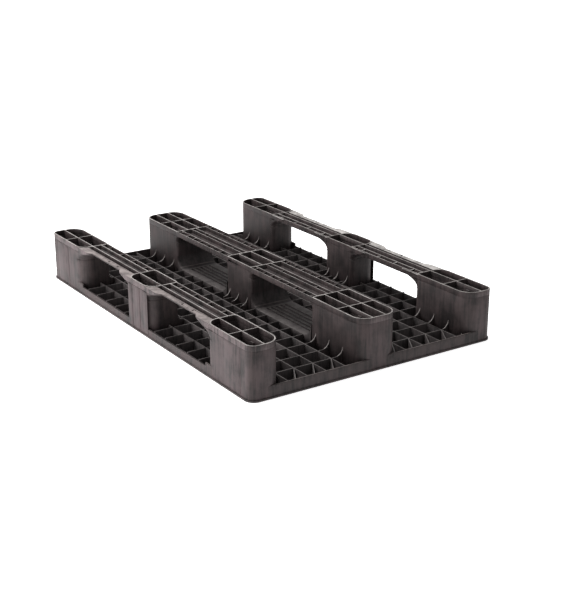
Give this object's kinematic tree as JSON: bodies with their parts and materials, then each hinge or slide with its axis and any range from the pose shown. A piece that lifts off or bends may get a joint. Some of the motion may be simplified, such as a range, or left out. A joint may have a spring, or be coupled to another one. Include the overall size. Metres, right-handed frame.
{
  "type": "plastic pallet",
  "caption": "Three-runner plastic shipping pallet, stored face down: ribbed underside and runners point up, fork openings on all four sides.",
  "frame": {"origin": "centre of the load deck's outer face, which is the lowest face as stored; the pallet is stored face down and is turned 180 degrees about Y for use", "axes": "+Y along the three runners (the long side), +X across them, +Z from the load deck's face to the runners' soles"},
  "size_m": [0.8, 1.2, 0.15],
  "materials": {
    "deck_plastic": "moulded recycled polyolefin, satin with fine flow streaks",
    "leg_plastic": "moulded recycled polyolefin, satin with vertical draw marks",
    "runner_plastic": "moulded recycled polyolefin, satin, scuffed on the soles",
    "rivet_plastic": "moulded plastic"
  },
  "bodies": {
    "root": {"load_deck": "deck_plastic", "leg_left_front": "leg_plastic", "rivets_left_front": "rivet_plastic", "leg_left_middle": "leg_plastic", "rivets_left_middle": "rivet_plastic", "leg_left_rear": "leg_plastic", "rivets_left_rear": "rivet_plastic", "leg_middle_front": "leg_plastic", "rivets_middle_front": "rivet_plastic", "leg_middle_middle": "leg_plastic", "rivets_middle_middle": "rivet_plastic", "leg_middle_rear": "leg_plastic", "rivets_middle_rear": "rivet_plastic", "leg_right_front": "leg_plastic", "rivets_right_front": "rivet_plastic", "leg_right_middle": "leg_plastic", "rivets_right_middle": "rivet_plastic", "leg_right_rear": "leg_plastic", "rivets_right_rear": "rivet_plastic", "runner_left": "runner_plastic", "runner_middle": "runner_plastic", "runner_right": "runner_plastic", "floor_panel_front": "deck_plastic", "floor_panel_rear": "deck_plastic"}
  },
  "joints": []
}
